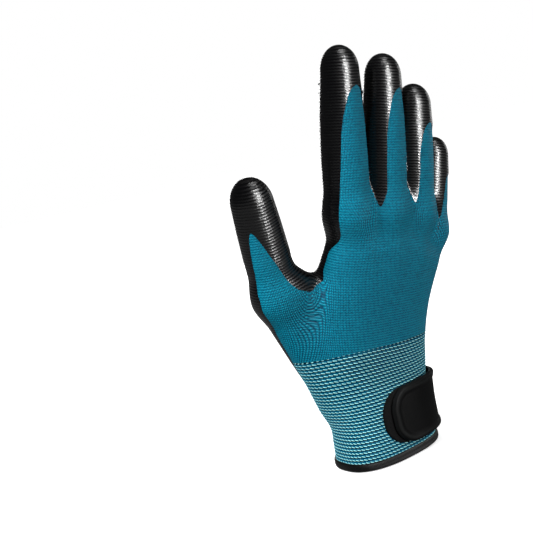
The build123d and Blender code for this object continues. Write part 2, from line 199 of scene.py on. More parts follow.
def trunk_coords(pts, hand):
    """x, y, z that turn from upright at the cuff to the hand frame at the palm."""
    share = ease(pts[:, 2], 30, 64)[:, None]
    return ((1 - share) * (pts - WRIST) + share * hand).T


def trunk_distance(pts, hand):
    x, y, z = trunk_coords(pts, hand)
    centre_x, centre_y, half_x, half_y = section(z)
    x, y = np.abs(x - centre_x) + 1e-6, np.abs(y - centre_y) + 1e-6
    power = TRUNK_POWER
    total = (x / half_x) ** power + (y / half_y) ** power
    level = total ** (1 / power)
    slope_x = total ** (1 / power - 1) * (x / half_x) ** (power - 1) / half_x
    slope_y = total ** (1 / power - 1) * (y / half_y) ** (power - 1) / half_y
    side = (level - 1) / np.maximum(np.hypot(slope_x, slope_y), 1e-4)
    above = hand[:, 2] - np.interp(hand[:, 0], *TRUNK_TOP)
    return -soft_min(-side, -above, 12.0)


def finger_coords(digit, hand):
    return ((hand - digit.base) @ digit.axes).T


def finger_distance(digit, hand, widen=0.0):
    x, y, along = finger_coords(digit, hand)
    radius = finger_radius(digit, np.minimum(along, digit.shoulder))
    across = np.hypot(x / (1 + widen), y)
    beyond = np.maximum(along - digit.shoulder, 0) / TIP_STRETCH
    reach = np.sqrt(across ** 2 + beyond ** 2)
    slope = np.sqrt(across ** 2 + (beyond / TIP_STRETCH) ** 2) / np.maximum(reach, 1e-6)
    tip = (reach - digit.shoulder_radius) / np.maximum(slope, 0.3)
    upper = np.where(along > digit.shoulder, tip, across - radius)
    return np.where(along < 0, np.sqrt(across ** 2 + along ** 2) - digit.base_radius, upper)


def cone_distance(hand, start, end, start_radius, end_radius):
    start = np.array(start)
    axis = end - start
    t = np.clip((hand - start) @ axis / (axis @ axis), 0, 1)
    away = np.linalg.norm(hand - start - t[:, None] * axis, axis=1)
    return away - (start_radius + (end_radius - start_radius) * t)


def part_distances(pts):
    """Hand-frame points; distances to trunk, 4 fingers, thumb, metacarpal, web, 4 ridges."""
    hand = to_hand(pts)
    parts = [trunk_distance(pts, hand)]
    parts += [finger_distance(digit, hand, FINGER_WIDEN) for digit in FINGERS.values()]
    parts.append(finger_distance(THUMB, hand))
    parts.append(cone_distance(hand, [-25.5, 4.0, -12.0], THUMB_BASE, 11.8, 12.3))
    parts.append(cone_distance(hand, [-38.0, 3.0, 48.0], [-55.0, 6.0, 53.5], 9.0, 7.0))
    parts += [cone_distance(hand, digit.knuckle, digit.base, 9.0, digit.base_radius * 0.985)
              for digit in FINGERS.values()]
    return hand, parts


def skin(pts):
    """Signed distance to the outer skin, negative inside."""
    hand, parts = part_distances(pts)
    trunk, fingers = parts[0], parts[1]
    for ridge in parts[8:12]:
        trunk = soft_min(trunk, ridge, 10.0)
    for part in parts[2:5]:
        fingers = soft_min(fingers, part, 2.0)
    whole = soft_min(soft_min(trunk, fingers, 8.0), parts[7], 9.0)
    whole = soft_min(whole, soft_min(parts[5], parts[6], 7.0), 13.0)
    hollow = np.exp(-(((hand[:, 0] + 3) / 15) ** 2 + ((hand[:, 2] - 44) / 24) ** 2))
    return whole + 2.2 * (hollow * ease(hand[:, 1], 2, 14))    # hollow of the palm


def gradient(pts):
    """Unit direction of steepest growth of skin(), and its slope."""
    step = 0.35
    slopes = np.empty_like(pts)
    for i in range(3):
        offset = np.zeros(3)
        offset[i] = step
        slopes[:, i] = (skin(pts + offset) - skin(pts - offset)) / (2 * step)
    size = np.linalg.norm(slopes, axis=1, keepdims=True)
    return slopes / np.maximum(size, 1e-6), size[:, 0]


def skin_normals(pts):
    return gradient(pts)[0]


def project(pts, rounds):
    """Move points onto the skin."""
    for _ in range(rounds):
        normals, slope = gradient(pts)
        move = np.clip(skin(pts) / np.maximum(slope, 0.3), -3, 3)
        pts = pts - normals * move[:, None]
    return pts


def ray_exit(origins, rays, low, high, rounds=22):
    """Distance along each ray, between low and high, at which it leaves the skin."""
    low = np.zeros(len(origins)) + low
    high = np.zeros(len(origins)) + high
    for _ in range(rounds):
        middle = 0.5 * (low + high)
        inside = skin(origins + rays * middle[:, None]) < 0
        low = np.where(inside, middle, low)
        high = np.where(inside, high, middle)
    return 0.5 * (low + high)


# ------------------------------------------------------------------ surface nets of the skin
def crossing_points(field, cells, corners):
    """Mean of the zero crossings on each cell's edges, in grid units."""
    total, hits = np.zeros((len(cells), 3)), np.zeros(len(cells))
    for corner in corners:
        for axis in range(3):
            if corner[axis]:
                continue
            start = cells + np.array(corner)
            end = start.copy()
            end[:, axis] += 1
            at_start, at_end = field[tuple(start.T)], field[tuple(end.T)]
            crosses = (at_start < 0) != (at_end < 0)
            t = np.where(crosses, at_start / np.where(crosses, at_start - at_end, 1), 0)
            point = start.astype(float)
            point[:, axis] += t
            total[crosses] += point[crosses]
            hits[crosses] += 1
    return total, hits


def net_quads(inside, index):
    """A quad round each grid edge that crosses the skin."""
    count = inside.shape
    quads = []
    for axis in range(3):
        second, third = (axis + 1) % 3, (axis + 2) % 3
        below, above = np.delete(inside, -1, axis), np.delete(inside, 0, axis)
        for leaving in (True, False):
            edges = np.argwhere((below == leaving) & (above != leaving))
            edges = edges[(edges[:, second] > 0) & (edges[:, third] > 0)
                          & (edges[:, second] < count[second] - 1)
                          & (edges[:, third] < count[third] - 1)]
            ring = []
            for shift_second, shift_third in ((-1, -1), (0, -1), (0, 0), (-1, 0)):
                cell = edges.copy()
                cell[:, second] += shift_second
                cell[:, third] += shift_third
                ring.append(index[tuple(cell.T)])
            quads.append(np.stack(ring if leaving else ring[::-1], 1))
    quads = np.concatenate(quads)
    return quads[(quads >= 0).all(1)]


def skin_mesh(step=1.25):
    low, high = np.array([-92.0, -50.0, -6.0]), np.array([72.0, 34.0, 238.0])
    count = np.ceil((high - low) / step).astype(int) + 1
    axes = [low[i] + step * np.arange(count[i]) for i in range(3)]
    grid_x, grid_y = np.meshgrid(axes[0], axes[1], indexing="ij")
    field = np.empty(count, np.float32)
    for k in range(count[2]):
        layer = np.stack([grid_x.ravel(), grid_y.ravel(),
                          np.full(grid_x.size, axes[2][k])], 1)
        field[:, :, k] = skin(layer).reshape(count[0], count[1])
    inside = field < 0
    corners = [(i, j, k) for i in (0, 1) for j in (0, 1) for k in (0, 1)]
    size = count - 1
    filled = sum(inside[i:size[0] + i, j:size[1] + j, k:size[2] + k].astype(int)
                 for i, j, k in corners)
    active = (filled > 0) & (filled < 8)
    cells = np.argwhere(active)
    index = -np.ones(size, int)
    index[active] = np.arange(len(cells))
    total, hits = crossing_points(field, cells, corners)
    verts = low + step * total / hits[:, None]
    quads = net_quads(inside, index)
    # even out the vertices while keeping them on the skin
    edges = np.concatenate([quads[:, [i, (i + 1) % 4]] for i in range(4)])
    edges = np.concatenate([edges, edges[:, ::-1]])
    degree = np.bincount(edges[:, 0], minlength=len(verts)).astype(float)
    for _ in range(4):
        mean = np.stack([np.bincount(edges[:, 0], verts[edges[:, 1], i], minlength=len(verts))
                         for i in range(3)], 1) / np.maximum(degree, 1)[:, None]
        verts = project(verts + 0.6 * (mean - verts), 1)
    return project(verts, 2), quads


# ------------------------------------------------------------------ fields on the skin
def owner(pts, softness):
    """Hand-frame points, distances to and soft shares of the trunk, fingers, thumb, metacarpal."""
    hand, parts = part_distances(pts)
    near = [parts[0]] + [np.minimum(parts[1 + i], parts[8 + i]) for i in range(4)]
    near = np.stack(near + parts[5:7], 1)
    share = np.exp(-np.maximum(near - near.min(1, keepdims=True), 0) / softness)
    return hand, near, share / share.sum(1, keepdims=True)


# Half widths of the bare knit in degrees. Rows: distance below the bare knit's point, half
# width on the +x side of the digit, half width on its -x side.
BARE_FINGER = np.array([[0, 1, 3.8, 7.7, 15.3, 24, 38, 50, 62, 90.0],
                        [0, 17, 32, 41, 53, 61, 66, 72, 76, 80.0],
                        [0, 17, 32, 41, 51, 57, 61, 66, 74, 84.0]])
BARE_THUMB = np.array([[0, 2, 5, 9, 12, 17, 22, 28, 35, 60, 90.0],
                       [0, 9, 16, 24, 29, 38, 47, 56, 64, 78, 86.0],
                       [0, 7, 11, 14, 16, 18, 20, 23, 28, 42, 52.0]])
# height, and hand-frame y of the dip's edge on the thumb side of the hand: on the thumb's
# outer side and on its side towards the fingers
DIP_EDGE_OUTER = ([40, 60, 72, 80, 87, 97, 107, 115, 135],
                  [14, 9.5, 7.0, 6.8, 6.4, 3.8, 3.0, 5.0, 5.6])
DIP_EDGE_WEB = ([40, 60, 72, 80, 87, 97, 104, 109, 114, 122, 133, 145],
                [14, 9.5, 7.0, 6.8, 6.4, 3.8, -1.0, -2.8, 0.6, 0.4, -3.4, -7.0])


def bare_width(digit, below, along, bearing):
    """Half width in degrees of the bare knit on a digit's back."""
    if digit is THUMB:
        plus, minus = (np.interp(below, BARE_THUMB[0], BARE_THUMB[i]) for i in (1, 2))
    else:
        plus = minus = np.interp(below, BARE_FINGER[0], BARE_FINGER[1])
        if digit.low is not None:
            minus = np.minimum(np.interp(below, BARE_FINGER[0], BARE_FINGER[2]),
                               np.interp(along - digit.low, [-8, 0, 7.5], [90, 73, 62]))
        minus = minus - (digit.trim * (0.4 + 0.6 * ease(along, 5, 17))
                         * (1 - 0.6 * ease(along, 20, 40)))
    return np.where(bearing > digit.bare_bearing, plus, minus)


def dip_mask(pts):
    """Signed distance in mm, positive where the rubber dip covers the knit."""
    hand, _, share = owner(pts, 1.2)
    thumb_x = finger_coords(THUMB, hand)[0]
    edge = lerp(np.interp(pts[:, 2], *DIP_EDGE_OUTER), np.interp(pts[:, 2], *DIP_EDGE_WEB),
                ease(thumb_x, -7, 1))
    body = lerp(hand[:, 1] - edge, hand[:, 1] - 6.0, ease(hand[:, 0], -30, 10))
    masks = [body]
    for digit in DIGITS.values():
        x, y, along = finger_coords(digit, hand)
        bearing = np.degrees(np.arctan2(x, -y))
        below = digit.length - digit.bare_tip - along
        width = bare_width(digit, below, along, bearing)
        radius = np.maximum(finger_radius(digit, along), 3)
        mask = radius * np.radians(np.abs(bearing - digit.bare_bearing) - width)
        mask = np.where(below < 0, np.maximum(np.hypot(-below, mask), 0.3), mask)
        if digit is THUMB:
            on_digit = lerp(ease(along, -10, 2), ease(along, -30, 4), ease(x, -5, 3))
        else:
            on_digit = ease(along, -22, -7)
        masks.append(lerp(body, mask, on_digit))
    masks.append(body)
    mask = sum(share[:, i] * masks[i] for i in range(7))
    return np.minimum(mask, pts[:, 2] - (50.0 + 1.2 * np.cos(hand[:, 0] / 14.0)))


# arc length round the trunk from the middle of the back: rows of height, columns of bearing
ARC_LOW, ARC_STEP, ARC_ROWS, ARC_TURN = -50, 5.0, 31, 360


def arc_table():
    bearing = np.linspace(-np.pi, np.pi, ARC_TURN + 1)
    x, y = np.sin(bearing), -np.cos(bearing)
    table = np.zeros((ARC_ROWS, ARC_TURN + 1))
    for i in range(ARC_ROWS):
        _, _, half_x, half_y = section(ARC_LOW + i * ARC_STEP)
        level = ((np.abs(x) / half_x) ** TRUNK_POWER
                 + (np.abs(y) / half_y) ** TRUNK_POWER) ** (1 / TRUNK_POWER)
        outline = np.stack([x / level, y / level], 1)
        steps = np.linalg.norm(np.diff(outline, axis=0), axis=1)
        length = np.concatenate([[0], np.cumsum(steps)])
        table[i] = length - length[ARC_TURN // 2]
    return table


ARC = arc_table()


def arc_length(x, y, z):
    centre_x, centre_y, _, _ = section(z)
    bearing = np.arctan2(x - centre_x, -(y - centre_y))
    column = (bearing + np.pi) / TAU * ARC_TURN
    row = np.clip((z - ARC_LOW) / ARC_STEP, 0, ARC_ROWS - 1 - 0.001)
    i, j = np.clip(column.astype(int), 0, ARC_TURN - 1), row.astype(int)
    return lerp(lerp(ARC[j, i], ARC[j, i + 1], column - i),
                lerp(ARC[j + 1, i], ARC[j + 1, i + 1], column - i), row - j)


THUMB_KNIT_RADIUS = 12.5


def knit_uv(pts):
    """Stitch coordinates in mm: u across the columns, v along them."""
    hand, near, share = owner(pts, 4.0)
    x, y, body_v = trunk_coords(pts, hand)
    body_u = arc_length(x, y, body_v) + section(body_v)[0]
    all_u, all_v = [body_u], [body_v]
    for digit in FINGERS.values():
        x, y, along = finger_coords(digit, hand)
        bearing = np.arctan2(x, -y)
        on_digit = ease(along, -6, 14)
        finger_u = digit.base[0] + bearing * finger_radius(digit, along)
        all_u.append(lerp(body_u, finger_u, on_digit))
        all_v.append(lerp(body_v, digit.base[2] + along, on_digit))
    x, y, along = finger_coords(THUMB, hand)
    thumb_u = np.arctan2(x, -y) * THUMB_KNIT_RADIUS
    # shift the thumb's stitches to meet the hand's at the back of the thumb's root
    root = ((np.abs(np.arctan2(x, -y)) < 0.2) & (np.abs(along + 12) < 3)
            & (near[:, 5:7].min(1) < 1.0))
    shift_u, shift_v = -46.0, 50.0
    if root.any():
        shift_u = float(np.median((body_u - thumb_u)[root]))
        shift_v = float(np.median((body_v - along)[root]))
    on_digit = ease(along, -30, 6)
    all_u += [lerp(body_u, shift_u + thumb_u, on_digit)] * 2
    all_v += [lerp(body_v, shift_v + along, on_digit)] * 2
    return np.stack([sum(share[:, i] * values[i] for i in range(7))
                     for values in (all_u, all_v)], 1)


# ------------------------------------------------------------------ shader helpers
def srgb(*channels):
    """Linear colour from 8-bit sRGB."""
    shares = [c / 255.0 for c in channels]
    return tuple(c / 12.92 if c <= 0.04045 else ((c + 0.055) / 1.055) ** 2.4
                 for c in shares) + (1.0,)


class Value:
    """A node output; each arithmetic step on it adds one Math node."""

    def __init__(self, shader, socket):
        self.shader = shader
        self.socket = socket

    def op(self, kind, *others):
        return self.shader.math(kind, self, *others)

    def __add__(self, other):
        return self.op("ADD", other)

    def __sub__(self, other):
        return self.op("SUBTRACT", other)

    def __rsub__(self, other):
        return self.shader.math("SUBTRACT", other, self)

    def __mul__(self, other):
        return self.op("MULTIPLY", other)

    def __truediv__(self, other):
        return self.op("DIVIDE", other)

    def __pow__(self, other):
        return self.op("POWER", other)

    def __abs__(self):
        return self.op("ABSOLUTE")

    def scaled(self, factor, offset):
        return self.op("MULTIPLY_ADD", factor, offset)

    def swing(self, kind="SINE"):
        """Wave between 0 and 1 with this value as its angle."""
        return self.op(kind).scaled(factor=0.5, offset=0.5)

    def clamped(self):
        self.socket.node.use_clamp = True
        return self

    def sibling(self, output):
        return Value(self.shader, self.socket.node.outputs[output])


class Shader:
    """Node tree of a material or world."""

    def __init__(self, data):
        self.data = data
        data.use_nodes = True
        self.tree = data.node_tree

    def put(self, socket, value):
        if isinstance(value, Value):
            self.tree.links.new(value.socket, socket)
        else:
            socket.default_value = value

    def node(self, kind, output, inputs=None, **settings):
        node = self.tree.nodes.new(kind)
        for key, value in settings.items():
            setattr(node, key, value)
        for key, value in (inputs or {}).items():
            self.put(node.inputs[key], value)
        return Value(self, node.outputs[output])

    def math(self, kind, *operands):
        return self.node("ShaderNodeMath", 0, dict(enumerate(operands)), operation=kind)

    def uv(self):
        """u, v and the whole UV vector."""
        vector = self.node("ShaderNodeUVMap", 0, uv_map="UVMap")
        u = self.node("ShaderNodeSeparateXYZ", 0, {0: vector})
        return u, u.sibling(1), vector

    def position(self):
        return self.node("ShaderNodeTexCoord", "Object")

    def attribute(self, name):
        return self.node("ShaderNodeAttribute", "Fac", attribute_name=name)

    def noise(self, scale, detail=3.0, rough=0.5, at=None):
        return self.node("ShaderNodeTexNoise", "Fac", {
            "Vector": at or self.position(), "Scale": scale, "Detail": detail,
            "Roughness": rough})

    def mix(self, first, second, share):
        return self.node("ShaderNodeMix", 2, {0: share, 6: first, 7: second},
                         data_type="RGBA")

    def remap(self, value, low=0.3, high=0.7, to=(0, 1)):
        return self.node("ShaderNodeMapRange", 0,
                         {0: value, 1: low, 2: high, 3: to[0], 4: to[1]})

    def bump(self, height, strength, distance, **base):
        return self.node("ShaderNodeBump", 0, {
            "Height": height, "Strength": strength, "Distance": distance, **base})

    def surface(self, **values):
        for key, value in values.items():
            self.put(self.tree.nodes["Principled BSDF"].inputs[key.replace("_", " ")], value)


# ------------------------------------------------------------------ materials
CUFF_ROW = 1.88      # height of one row of the cuff's pattern
CUFF_DASH = 2.5      # pitch of its pale stitches along a row


def plain_stitches(u, v, width, height):
    """Height 0..1 of a plain knit face: columns of small V stitches."""
    across = abs((u / width).op("FRACT") - 0.5)
    leg = ((v / height + across * -0.9) * TAU).swing()
    side = ((across - 0.25) * (4 * math.pi)).swing("COSINE")
    return side ** 0.6 * leg.scaled(factor=0.75, offset=0.25)


def teal_knit(shader):
    u, v, _ = shader.uv()
    stitches = plain_stitches(u, v, width=1.6, height=1.35)
    cloudy, fine = shader.noise(scale=14.0), shader.noise(scale=900.0, detail=2.0)
    color = shader.mix(srgb(1, 124, 158), srgb(2, 142, 172), share=shader.remap(cloudy))
    # painted shade and highlight: the stitch pattern darkens the colour between the stitches and
    # lightens the stitch tops
    color = shader.mix(shader.mix(color, srgb(0, 24, 62), share=0.90),
                       shader.mix(color, srgb(8, 190, 222), share=0.50), share=stitches)
    color = shader.mix(color, srgb(24, 176, 206),
                       share=shader.remap(fine, low=0.35, high=0.75, to=(0, 0.30)))
    shader.surface(
        Base_Color=color, Roughness=0.55, Sheen_Weight=0.05, Sheen_Roughness=0.4,
        Normal=shader.bump(stitches, strength=0.8, distance=0.0006),
        Sheen_Tint=srgb(20, 190, 220), Specular_IOR_Level=0.06)


def patterned_knit(shader):
    u, v, vector = shader.uv()
    row_shift, slant = 0.37, 0.36      # of the pale stitches, as shares of a pitch
    pale_level, shadow_level = 0.56, 0.27    # places within a row
    along = u / CUFF_DASH + (v / CUFF_ROW).op("FLOOR") * row_shift
    along = along.op("FRACT") - 0.5
    up_row = (v / CUFF_ROW + along * slant).op("FRACT")
    lift = abs(up_row - pale_level)
    band = shader.remap(lift, low=0.07, high=0.14, to=(1, 0))
    dash = shader.remap(abs(along), low=0.33, high=0.45, to=(1, 0))
    patchy = shader.remap(shader.noise(scale=0.9, detail=2.0, at=vector),
                          low=0.25, high=0.5, to=(0.75, 1.0))
    pale = (band * dash * patchy).clamped()
    cloudy = shader.noise(scale=20.0, detail=2.0)
    color = shader.mix(srgb(2, 92, 122), srgb(3, 106, 138), share=shader.remap(cloudy))
    shadow = shader.remap(abs(up_row - shadow_level), low=0.14, high=0.24, to=(1, 0))
    color = shader.mix(color, srgb(1, 14, 30), share=shadow * 0.96)
    gap = shader.remap(abs(along), low=0.36, high=0.5)
    color = shader.mix(color, srgb(2, 34, 60), share=gap * 0.6)
    color = shader.mix(color, srgb(178, 255, 255), share=pale)
    height = (0.5 - lift) * 1.2 + dash * 0.5
    shader.surface(
        Base_Color=color, Roughness=0.7, Sheen_Weight=0.05, Sheen_Roughness=0.5,
        Normal=shader.bump(height, strength=0.6, distance=0.0005),
        Sheen_Tint=srgb(60, 200, 225), Specular_IOR_Level=0.04)


def black_coating(shader):
    """Glossy dip; the attribute low marks the ribbed band at its lower edge."""
    u, v, _ = shader.uv()
    rib_pitch, row_pitch, column_pitch = 1.55, 1.5, 1.6
    stitches = plain_stitches(u, v, width=1.2, height=1.2)
    low = shader.attribute("low")
    rib = (v * (TAU / rib_pitch)).swing() ** 0.8
    wobble = (u * (TAU / column_pitch)).op("SINE") * 0.45
    rows = (v * (TAU / row_pitch) + wobble).swing()
    height = rib * low + rows.scaled(factor=0.75, offset=stitches * 0.2) * (1.0 - low)
    cloudy, blotches = shader.noise(scale=45.0), shader.noise(scale=260.0, rough=0.6)
    color = shader.mix(srgb(2, 2, 3), srgb(6, 6, 7), share=shader.remap(cloudy))
    # painted highlight: the crests of the ribbed band at the lower edge are lightened
    color = shader.mix(color, srgb(40, 38, 38), share=rib * low * 0.7)
    rough = shader.remap(blotches, to=(0.14, 0.19)) + (1.0 - rows) * 0.22 + low * 0.25
    normal = shader.bump(blotches, strength=0.04, distance=0.0006)
    normal = shader.bump(height, strength=0.35, distance=0.0003, Normal=normal)
    shader.surface(Base_Color=color, Roughness=rough.clamped(), Normal=normal,
                   Specular_IOR_Level=0.42)


def black_rubber(shader):
    at = shader.position()
    cloudy = shader.noise(scale=60.0, detail=2.0, at=at)
    fine = shader.noise(scale=700.0, rough=0.6, at=at)
    shader.surface(
        Base_Color=shader.mix(srgb(7, 7, 8), srgb(15, 15, 16), share=cloudy),
        Roughness=shader.remap(fine, to=(0.16, 0.34)),
        Normal=shader.bump(fine, strength=0.12, distance=0.0004),
        Specular_IOR_Level=0.6, Coat_Weight=0.5, Coat_Roughness=0.12)


def strap_rubber(shader):
    """Grained rubber; the attribute edge marks bands along its rim that are lightened as a painted
    highlight.
    """
    at = shader.position()
    grain = shader.noise(scale=1500.0, rough=0.6, at=at)
    cloudy = shader.noise(scale=55.0, at=at)
    pebbles = shader.node("ShaderNodeTexVoronoi", "Distance", {"Vector": at, "Scale": 1400.0})
    color = shader.mix(srgb(4, 5, 5), srgb(9, 9, 10), share=shader.remap(cloudy))
    # painted highlight: the rim bands marked by the attribute edge are lightened
    color = shader.mix(color, srgb(48, 50, 50), share=shader.attribute("edge") * 0.30)
    normal = shader.bump(pebbles, strength=0.18, distance=0.0003)
    normal = shader.bump(grain, strength=0.10, distance=0.0003, Normal=normal)
    shader.surface(Base_Color=color, Roughness=shader.remap(grain, to=(0.44, 0.60)),
                   Normal=normal, Specular_IOR_Level=0.05)


def binding(shader):
    u, v, _ = shader.uv()
    twill_u, twill_v = 0.8, 2.6     # pitches of the slanted weave
    weave = ((u / twill_u + v / twill_v) * TAU).swing()
    fibres = shader.noise(scale=420.0)
    shader.surface(
        Base_Color=shader.mix(srgb(3, 3, 4), srgb(13, 13, 14), share=weave * fibres),
        Roughness=0.5, Normal=shader.bump(weave, strength=0.45, distance=0.0004),
        Sheen_Weight=0.08, Sheen_Roughness=0.35, Specular_IOR_Level=0.2)


def thread(shader):
    at = shader.position()
    fibres = shader.noise(scale=2500.0, detail=2.0, at=at)
    twist = shader.node("ShaderNodeTexWave", "Fac", {"Vector": at, "Scale": 900.0})
    shader.surface(
        Base_Color=shader.mix(srgb(18, 18, 19), srgb(48, 48, 50), share=fibres),
        Roughness=0.6, Normal=shader.bump(twist, strength=0.4, distance=0.0003),
        Sheen_Weight=0.3)


def fuzz(scale, dark, light):
    def recipe(shader):
        at = shader.position()
        tufts = shader.noise(scale=scale, detail=4.0, rough=0.7, at=at)
        fibres = shader.noise(scale=scale * 3, detail=2.0, at=at)
        shader.surface(
            Base_Color=shader.mix(dark, light, share=shader.remap(tufts)), Roughness=0.85,
            Normal=shader.bump(tufts + fibres, strength=0.9, distance=0.0007),
            Sheen_Weight=0.02, Sheen_Roughness=0.4, Sheen_Tint=srgb(120, 120, 125),
            Specular_IOR_Level=0.1)
    return recipe


RECIPES = {
    "teal_knit": teal_knit, "patterned_knit": patterned_knit,
    "black_coating": black_coating, "black_rubber": black_rubber,
    "strap_rubber": strap_rubber, "binding": binding, "thread": thread,
    "loop_pile": fuzz(scale=1100.0, dark=srgb(2, 2, 2), light=srgb(11, 11, 12)),
    "hook_tape": fuzz(scale=900.0, dark=srgb(12, 12, 13), light=srgb(28, 28, 30)),
}
MATERIALS = {}
for slot, recipe in RECIPES.items():
    shader = Shader(bpy.data.materials.new(slot))
    recipe(shader)
    MATERIALS[slot] = shader.data

# ------------------------------------------------------------------ mesh helpers
SCENE = bpy.context.scene


def link_object(name, data):
    obj = bpy.data.objects.new(name, data)
    SCENE.collection.objects.link(obj)
    return obj


def make_object(name, verts, faces, slot, normals=None, uv=None, attrs=None):
    """Smooth object from points in mm; normals, uv and attrs are per vertex."""
    mesh = bpy.data.meshes.new(name)
    mesh.from_pydata([tuple(v) for v in (np.asarray(verts) * MM).tolist()], [],
                     [tuple(int(i) for i in face) for face in faces])
    mesh.validate(clean_customdata=False)
    mesh.polygons.foreach_set("use_smooth", [True] * len(mesh.polygons))
    if uv is not None:
        set_loop_uv(mesh, np.asarray(uv, np.float32)[loop_verts(mesh)])
    for key, values in (attrs or {}).items():
        attribute = mesh.attributes.new(key, "FLOAT", "POINT")
        attribute.data.foreach_set("value", np.asarray(values, np.float32))
    mesh.update()
    if normals is not None:
        mesh.normals_split_custom_set_from_vertices([tuple(v) for v in normals.tolist()])
    obj = link_object(name, mesh)
    mesh.materials.append(MATERIALS[slot])
    return obj


def loop_verts(mesh):
    indices = np.empty(len(mesh.loops), int)
    mesh.loops.foreach_get("vertex_index", indices)
    return indices


def set_loop_uv(mesh, uv):
    mesh.uv_layers.new(name="UVMap").data.foreach_set("uv", uv.ravel())


def mount(obj, body, *replaced):
    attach(obj, body)
    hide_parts(*replaced)


def compact(verts, faces, *fields):
    """Keep only the vertices that the faces use."""
    used = np.unique(faces.ravel())
    renumber = -np.ones(len(verts), int)
    renumber[used] = np.arange(len(used))
    return (verts[used], renumber[faces]) + tuple(field[used] for field in fields)


def grid_faces(rows, columns, wrap=True):
    faces = []
    for r in range(rows - 1):
        for c in range(columns if wrap else columns - 1):
            a, b = r * columns + c, r * columns + (c + 1) % columns
            faces.append((a, b, b + columns, a + columns))
    return np.array(faces)


def boundary_edges(faces):
    sides = faces.shape[1]
    edges = np.concatenate([faces[:, [i, (i + 1) % sides]] for i in range(sides)])
    key = np.sort(edges, 1)
    _, which, uses = np.unique(key[:, 0] * 10 ** 7 + key[:, 1],
                               return_inverse=True, return_counts=True)
    return edges[uses[which] == 1]


def close_shell(outer, inner, faces):
    """Solid between two sheets with the same faces."""
    count = len(outer)
    start, end = boundary_edges(faces).T
    walls = np.stack([end, start, start + count, end + count], 1)
    return np.concatenate([outer, inner]), [*faces, *(faces[:, ::-1] + count), *walls]


def grid_shell(outer, inner, normals, rows, columns):
    """Solid between two open grids, faced along the normals."""
    faces = grid_faces(rows, columns, wrap=False)
    a, b, c = outer[faces[0][:3]]
    if np.dot(np.cross(b - a, c - a), normals[faces[0][0]]) < 0:
        faces = faces[:, ::-1]
    return close_shell(outer, inner, faces)


def join(parts):
    verts, faces, offset = [], [], 0
    for part_verts, part_faces in parts:
        verts.append(part_verts)
        faces += [tuple(i + offset for i in face) for face in part_faces]
        offset += len(part_verts)
    return np.concatenate(verts), faces


def fabric(name, slot, verts, faces, normals, uv, outward, inward, **attrs):
    """Shell between two offsets along the normals."""
    outer = verts + normals * np.reshape(outward, (-1, 1))
    inner = verts + normals * np.reshape(inward, (-1, 1))
    shell, shell_faces = close_shell(outer, inner, faces)
    return make_object(name, shell, shell_faces, slot, np.concatenate([normals, -normals]),
                       np.concatenate([uv, uv]),
                       {key: np.concatenate([a, a]) for key, a in attrs.items()})


def clip_tris(tris, field):
    """Part of a triangle mesh where field > 0, and a function that carries vertex values."""
    keep = field > 0
    cache, cuts = {}, []

    def cut(i, j):
        key = (i, j) if i < j else (j, i)
        if key not in cache:
            t = field[key[0]] / (field[key[0]] - field[key[1]])
            cache[key] = len(field) + len(cuts)
            cuts.append((key[0], key[1], min(max(t, 0.02), 0.98)))
        return cache[key]

    kept = keep[tris].sum(1)
    clipped = [tuple(tri) for tri in tris[kept == 3]]
    for tri in tris[(kept > 0) & (kept < 3)].tolist():
        outline = []
        for a in range(3):
            i, j = tri[a], tri[(a + 1) % 3]
            if keep[i]:
                outline.append(i)
            if keep[i] != keep[j]:
                outline.append(cut(i, j))
        clipped += [(outline[0], outline[a], outline[a + 1])
                    for a in range(1, len(outline) - 1)]

    def carry(values):
        if not cuts:
            return values
        table = np.array(cuts)
        i, j, t = table[:, 0].astype(int), table[:, 1].astype(int), table[:, 2]
        t = t[:, None] if values.ndim > 1 else t
        return np.concatenate([values, lerp(values[i], values[j], t)])

    return np.array(clipped), carry


def to_tris(quads):
    return np.concatenate([quads[:, [0, 1, 2]], quads[:, [0, 2, 3]]])


def bend(obj, name, index):
    """Bake a piece of a digit into its mesh; the ends of the digit's bend of that index are worked
    out but not used.
    """
    digit = DIGITS[name]
    start, end = (tuple(to_world(digit.base + digit.axes[:, 2] * along) * MM)
                  for along in digit.bends[index])
    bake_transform(obj)


# ------------------------------------------------------------------ knit and rubber dip
CUFF_TOP, CUFF_SLOPE = 65.0, 0.079    # the cuff's upper edge falls towards +x
CUFF_OVERLAP = 0.4

SKIN, SKIN_QUADS = skin_mesh()
SKIN_NORMALS = skin_normals(SKIN)
SKIN_UV = knit_uv(SKIN)
DIP = dip_mask(SKIN)
SKIN_TRIS = to_tris(SKIN_QUADS)
SKIN_TRIS = SKIN_TRIS[SKIN[SKIN_TRIS][:, :, 2].min(1) > 1.0]


def segment_labels(pts):
    """0 on the hand, 10 * digit + segment, both from 1, on the digits."""
    hand, parts = part_distances(pts)
    parts = np.stack(parts[:7], 1)
    labels = np.zeros(len(pts), int)
    for i, digit in enumerate(DIGITS.values(), 1):
        along = finger_coords(digit, hand)[2]
        own = ((parts[:, i] <= parts[:, 1:6].min(1) + 1e-9) & (along > digit.start)
               & (parts[:, i] < 4.0))
        labels = np.where(own, 10 * i + 1 + sum((along > c).astype(int) for c in digit.cuts),
                          labels)
    return labels


def knit_piece(name, tris, keep=None):
    fields = SKIN, SKIN_NORMALS, SKIN_UV
    if keep is not None:
        tris, carry = clip_tris(tris, keep)
        fields = map(carry, fields)
    verts, normals, uv = fields
    verts, faces, normals, uv = compact(verts, tris, normals, uv)
    return fabric(name, "teal_knit", verts, faces, normals, uv, outward=0.0, inward=-0.95)


